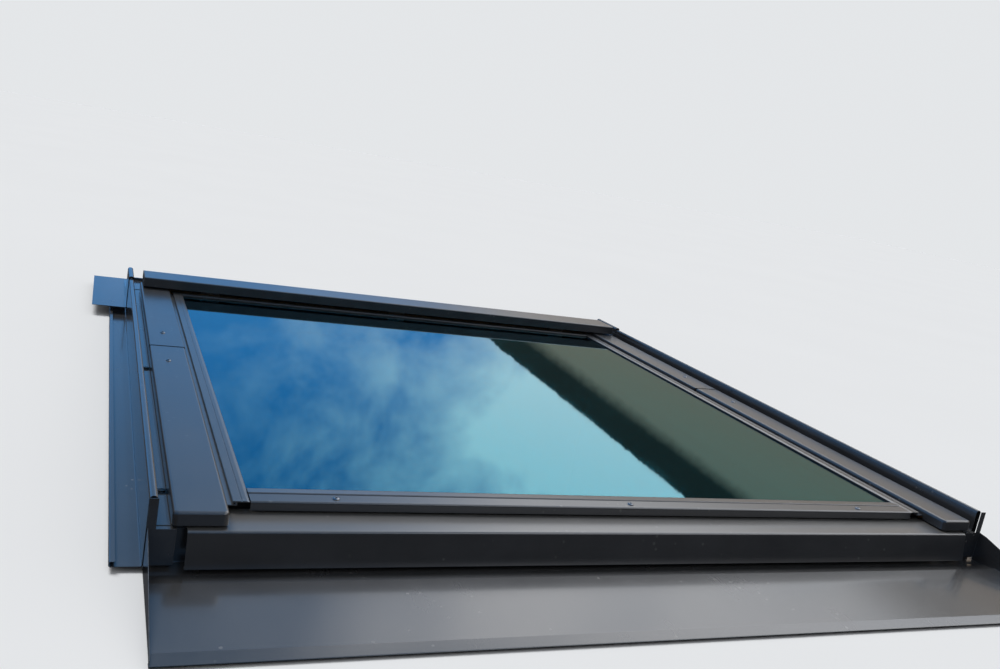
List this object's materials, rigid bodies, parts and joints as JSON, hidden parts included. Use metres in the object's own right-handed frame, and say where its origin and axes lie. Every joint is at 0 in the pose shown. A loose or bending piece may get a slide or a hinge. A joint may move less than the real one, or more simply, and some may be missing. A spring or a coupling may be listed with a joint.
{
  "type": "roof window",
  "caption": "Centre-pivot roof window with a glazed timber sash, a control bar and latch, painted metal covers, and flashing that sheds water round its frame.",
  "frame": {"origin": "middle of the frame, level with the underside of the mounting flanges, which lie on the roof battens", "axes": "+X across the window, to the right seen from outside; +Y up the slope; +Z out of the roof"},
  "size_m": [1.3322, 1.6356, 0.1345],
  "materials": {
    "frame_timber": "clear lacquer, satin",
    "sash_timber": "clear lacquer, satin",
    "pane_glass": "clear, polished",
    "spacer_metal": "dull",
    "black_rubber": "matt",
    "profile_paint": "painted, satin",
    "cover_paint": "painted, satin",
    "flashing_paint": "painted, satin",
    "cap_plastic": "fine grained",
    "zinc_plate": "zinc plated",
    "hinge_steel": "zinc plated, dull",
    "screw_steel": "stainless",
    "cover_screw": "painted",
    "lock_metal": "nickel plated",
    "bar_metal": "anodised, satin",
    "filter_foam": "open foam"
  },
  "bodies": {
    "frame": {"frame_stile_left": "frame_timber", "frame_stile_right": "frame_timber", "frame_head": "frame_timber", "frame_sill": "frame_timber", "upper_cover_left": "cover_paint", "upper_cover_right": "cover_paint", "cover_rail_left": "zinc_plate", "cover_rail_right": "zinc_plate", "upper_cover_screws": "cover_screw", "bottom_frame_cover": "cover_paint", "hood": "cover_paint", "hood_ends": "cap_plastic", "hood_brackets": "zinc_plate", "side_flashing_left": "flashing_paint", "side_flashing_right": "flashing_paint", "gutter_clips": "zinc_plate", "apron_flashing": "flashing_paint", "head_flashing": "flashing_paint", "upper_bracket_left": "zinc_plate", "upper_bracket_right": "zinc_plate", "lower_bracket_left": "zinc_plate", "lower_bracket_right": "zinc_plate", "bracket_screws": "screw_steel", "frame_screws": "screw_steel", "frame_hinge_left": "hinge_steel", "frame_hinge_right": "hinge_steel", "striker_plate": "lock_metal", "bolt_bushings": "lock_metal"},
    "sash": {"sash_stile_left": "sash_timber", "sash_stile_right": "sash_timber", "sash_top_rail": "sash_timber", "sash_bottom_rail": "sash_timber", "inner_pane": "pane_glass", "outer_pane": "pane_glass", "spacer_bar": "spacer_metal", "glazing_tape": "black_rubber", "glazing_gasket": "black_rubber", "sash_seal": "black_rubber", "side_profile_left": "profile_paint", "side_profile_right": "profile_paint", "glass_bead": "profile_paint", "bottom_sash_cover": "cover_paint", "top_sash_cover": "cover_paint", "lower_cover_left": "cover_paint", "lower_cover_right": "cover_paint", "cover_arms": "zinc_plate", "sash_cover_screws": "cover_screw", "sash_screws": "screw_steel", "sash_hinge_left": "hinge_steel", "sash_hinge_right": "hinge_steel", "lock_case": "lock_metal", "vent_filter": "filter_foam", "bar_brackets": "lock_metal", "bolt_guide": "lock_metal"},
    "control_bar": {"control_bar": "bar_metal", "bar_end_caps": "cap_plastic", "vent_flap": "bar_metal"},
    "latch": {"latch_bolt": "lock_metal"},
    "barrel_bolt": {"barrel_bolt": "lock_metal"}
  },
  "joints": [
    {"name": "sash_pivot", "type": "hinge", "parent": "frame", "child": "sash", "pos_m": [0, 0.058, 0.0693], "axis": [-1, 0, 0], "range_deg": [0, 160]},
    {"name": "bar_tilt", "type": "hinge", "parent": "sash", "child": "control_bar", "pos_m": [0, 0.533, -0.004], "axis": [1, 0, 0], "range_deg": [0, 50]},
    {"name": "latch_slide", "type": "slide", "parent": "sash", "child": "latch", "axis": [0, -1, 0], "range_m": [0, 0.008]},
    {"name": "bolt_slide", "type": "slide", "parent": "sash", "child": "barrel_bolt", "axis": [1, 0, 0], "range_m": [0, 0.012]}
  ],
  "couplings": [
    {"joint": "latch_slide", "follows": "bar_tilt", "m_per_rad": 0.00916}
  ]
}
